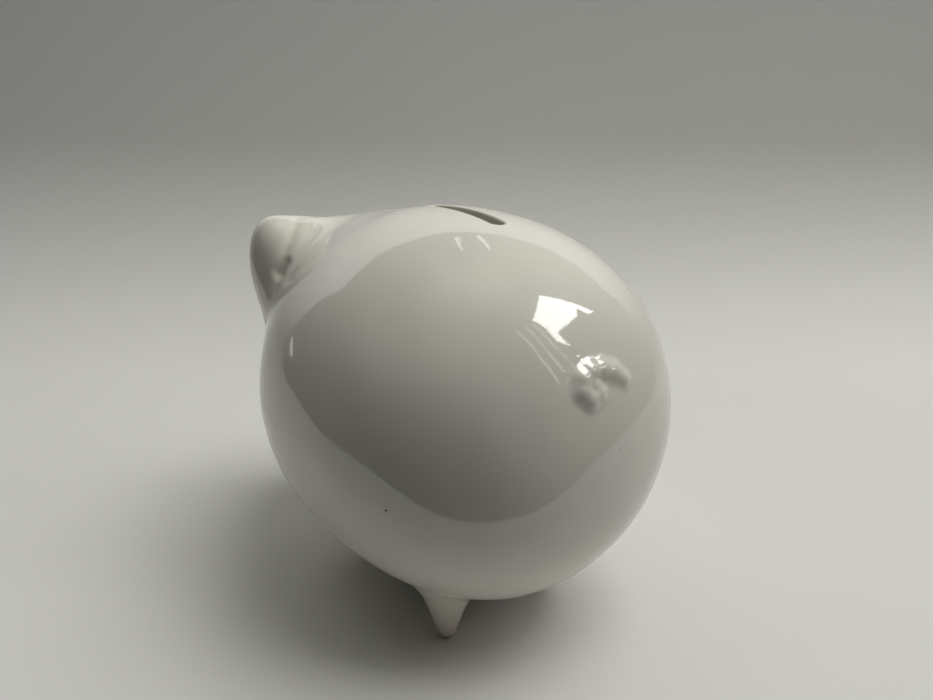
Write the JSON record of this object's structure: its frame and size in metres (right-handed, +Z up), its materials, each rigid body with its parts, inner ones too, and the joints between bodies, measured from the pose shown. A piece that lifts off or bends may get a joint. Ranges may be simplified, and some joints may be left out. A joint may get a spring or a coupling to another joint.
{
  "type": "piggy bank",
  "caption": "Round glazed ceramic pig with peg feet, a coin slot along its back, a curled tail and a rubber stopper in the belly.",
  "frame": {"origin": "on the ground under the middle of the pig's overall length and width, where the feet stand", "axes": "+Z up, the pig faces -Y, its left side is +X, the coin slot runs along Y on the top"},
  "size_m": [0.1122, 0.1636, 0.1211],
  "materials": {
    "glazed_body": "gloss",
    "stopper_rubber": "matte"
  },
  "bodies": {
    "bank": {"body_shell": "glazed_body", "snout": "glazed_body", "ear_left": "glazed_body", "ear_right": "glazed_body", "foot_front_left": "glazed_body", "foot_front_right": "glazed_body", "foot_rear_left": "glazed_body", "foot_rear_right": "glazed_body", "tail": "glazed_body"},
    "stopper": {"stopper": "stopper_rubber"}
  },
  "joints": [
    {"name": "stopper_pull", "type": "slide", "parent": "bank", "child": "stopper", "axis": [0, 0, -1], "range_m": [0, 0.02]}
  ]
}
